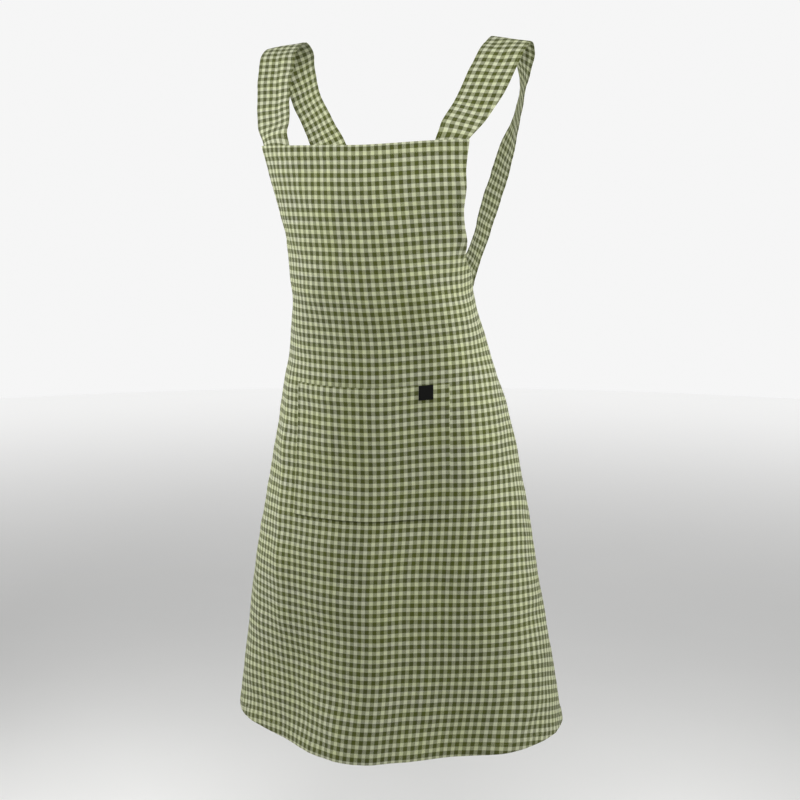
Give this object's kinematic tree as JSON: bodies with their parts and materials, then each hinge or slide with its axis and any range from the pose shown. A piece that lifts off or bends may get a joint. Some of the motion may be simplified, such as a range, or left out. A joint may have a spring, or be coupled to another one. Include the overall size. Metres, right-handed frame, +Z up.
{
  "type": "linen apron",
  "caption": "Bib apron in olive and cream gingham linen, worn shape: flared skirt wrapping to the back, broad shoulder straps crossing behind, wide patch pocket and plain dark label.",
  "frame": {"origin": "middle of the shoulder line, level with the centre lines of both straps at their crest, where the apron rests on the shoulders", "axes": "+Z up along the wearer's trunk, -Y out of the front of the bib, +X towards the wearer's left side"},
  "size_m": [0.512, 0.4353, 1.0108],
  "materials": {
    "body_linen": "yarn-dyed gingham linen, olive and cream, matt",
    "strap_linen": "yarn-dyed gingham linen, olive and cream, matt",
    "pocket_linen": "yarn-dyed gingham linen, olive and cream, matt",
    "label_tape": "plain black woven tape, matt"
  },
  "bodies": {
    "root": {"body": "body_linen", "strap_left": "strap_linen", "strap_right": "strap_linen", "pocket": "pocket_linen", "label": "label_tape"}
  },
  "joints": []
}
